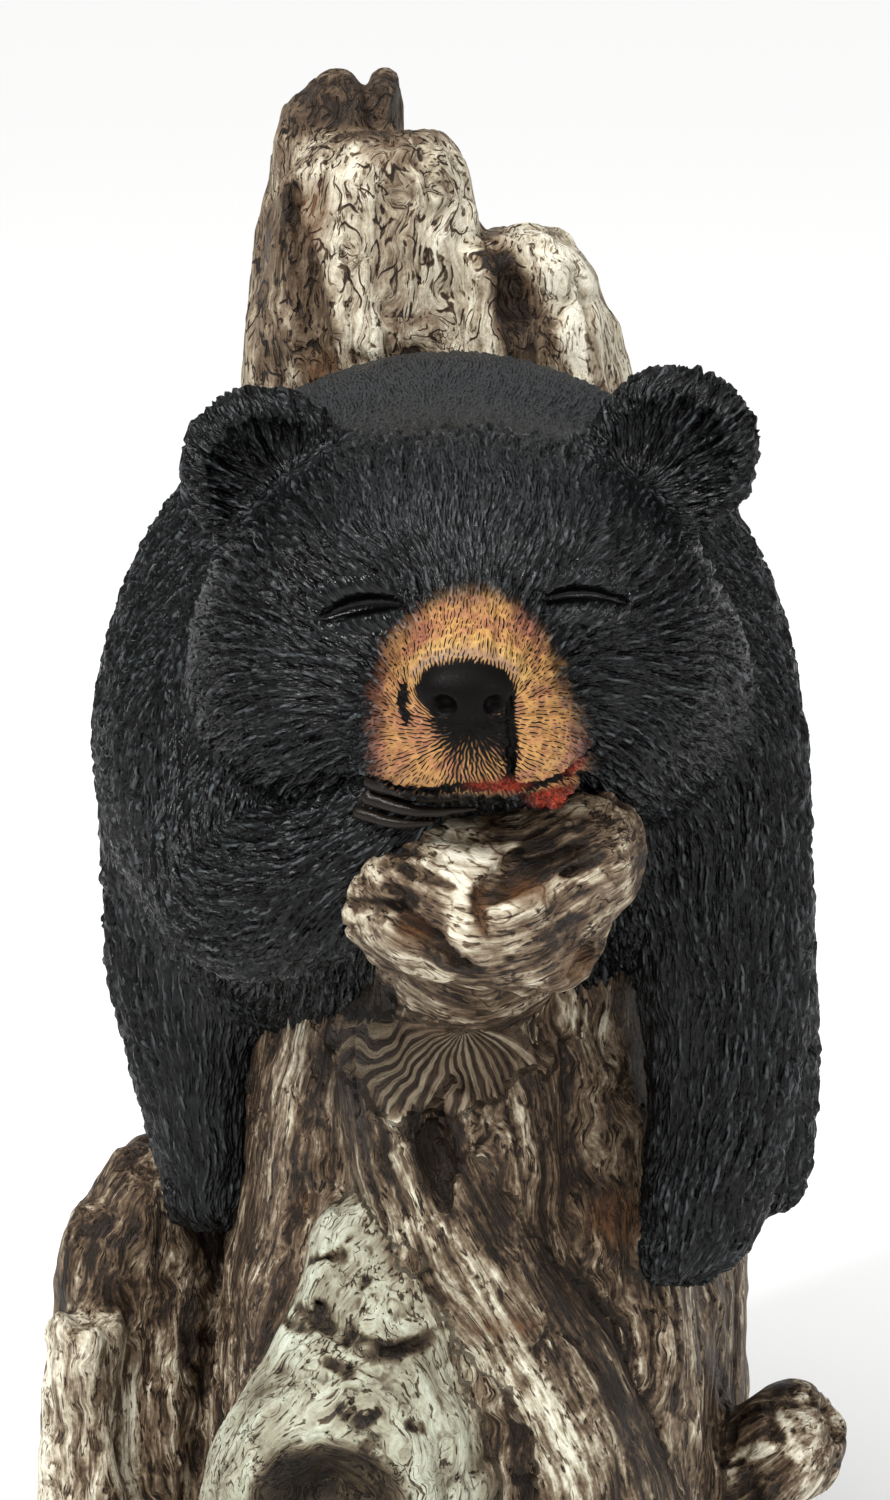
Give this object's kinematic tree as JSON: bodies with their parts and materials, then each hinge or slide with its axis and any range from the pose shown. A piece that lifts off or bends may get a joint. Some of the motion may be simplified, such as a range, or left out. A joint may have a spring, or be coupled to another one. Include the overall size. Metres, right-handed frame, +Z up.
{
  "type": "sleeping bear figurine",
  "caption": "Painted cast resin figurine of a black bear asleep over a broken limb of a weathered tree stump, on a flat base.",
  "frame": {"origin": "centre of the footprint box on the flat underside", "axes": "+Z up, -Y the way the bear's nose points, +X the bear's left side"},
  "size_m": [0.1552, 0.1846, 0.3],
  "materials": {
    "painted_resin": "hand-painted cast resin: satin black fur, tan muzzle, matte cream and brown driftwood"
  },
  "bodies": {
    "root": {"bear_on_stump": "painted_resin"}
  },
  "joints": []
}
